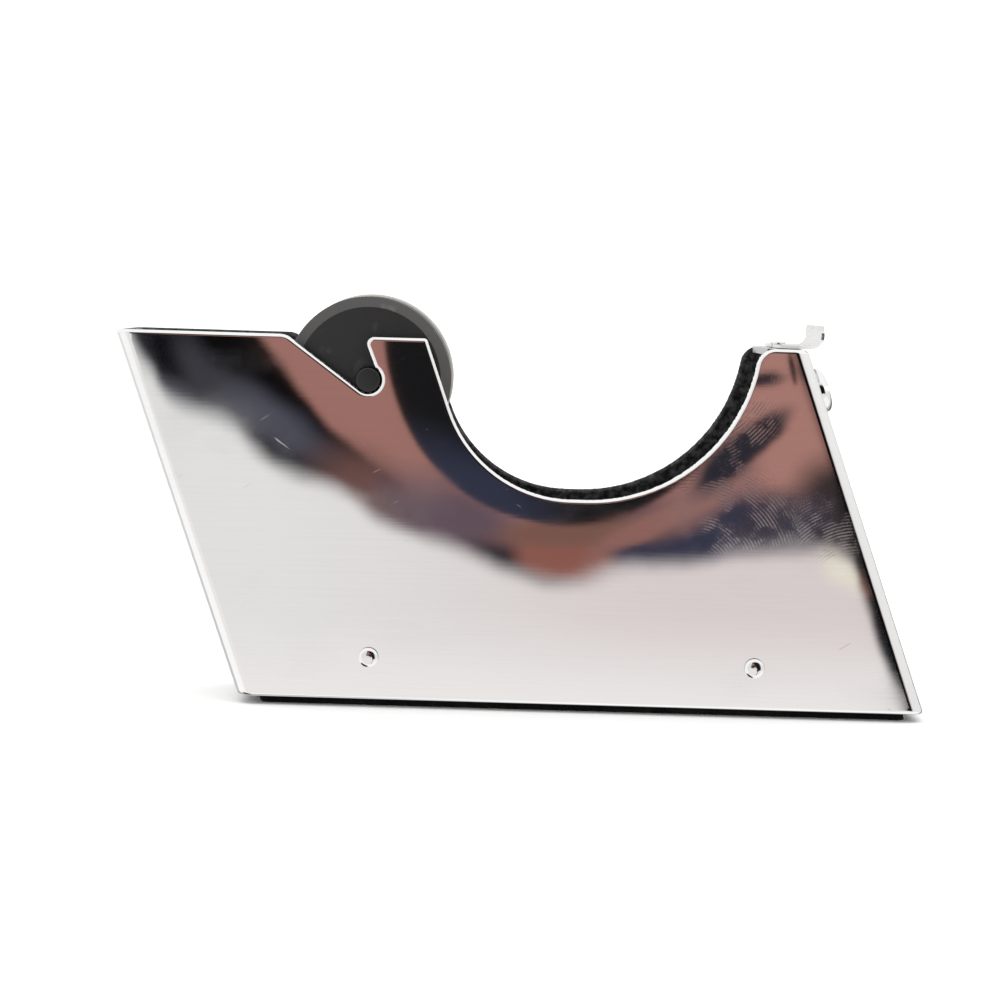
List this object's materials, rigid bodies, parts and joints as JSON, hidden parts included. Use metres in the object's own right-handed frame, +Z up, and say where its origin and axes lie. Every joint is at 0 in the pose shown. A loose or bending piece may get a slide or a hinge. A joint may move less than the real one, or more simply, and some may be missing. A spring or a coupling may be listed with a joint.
{
  "type": "tape dispenser",
  "caption": "Slanted chrome desk tape dispenser with a lift-out hub in hooked slots, a scooped side profile and a saw-toothed cutter at the front.",
  "frame": {"origin": "middle of the object's box, on the surface that it stands on", "axes": "+X towards the cutter blade, +Y towards the far side plate, +Z up"},
  "size_m": [0.126, 0.029, 0.0633],
  "materials": {
    "shell_chrome": "mirror chrome plate over polished sheet steel, with faint handling smudges",
    "fastener_chrome": "bright chrome plate",
    "blade_steel": "bright rolled spring steel with ground teeth",
    "zinc_plate": "dull zinc plate",
    "cast_iron": "rough casting, painted black",
    "hub_plastic": "black moulded plastic, fine satin",
    "axle_plastic": "black moulded plastic, smooth",
    "pad_rubber": "black cellular rubber sheet, matt"
  },
  "bodies": {
    "base": {"shell": "shell_chrome", "ballast_block": "cast_iron", "base_plate": "zinc_plate", "base_pad": "pad_rubber", "base_screw_near_rear": "fastener_chrome", "base_screw_far_rear": "fastener_chrome", "base_screw_near_front": "fastener_chrome", "base_screw_far_front": "fastener_chrome", "side_screw_near_rear": "fastener_chrome", "side_screw_far_rear": "fastener_chrome", "side_screw_near_front": "fastener_chrome", "side_screw_far_front": "fastener_chrome", "landing_bracket": "zinc_plate", "cutter_blade": "blade_steel", "blade_screw": "fastener_chrome", "front_screw": "fastener_chrome", "front_nut": "zinc_plate"},
    "axle": {"hub_axle": "axle_plastic"},
    "hub": {"hub_near_half": "hub_plastic", "hub_far_half": "hub_plastic"}
  },
  "joints": [
    {"name": "hub_lift", "type": "slide", "parent": "base", "child": "axle", "axis": [-0.8111, 0, 0.585], "range_m": [0, 0.03]},
    {"name": "hub_spin", "type": "hinge", "parent": "axle", "child": "hub", "pos_m": [-0.02421, 0, 0.0503], "axis": [0, 1, 0], "continuous": true}
  ]
}
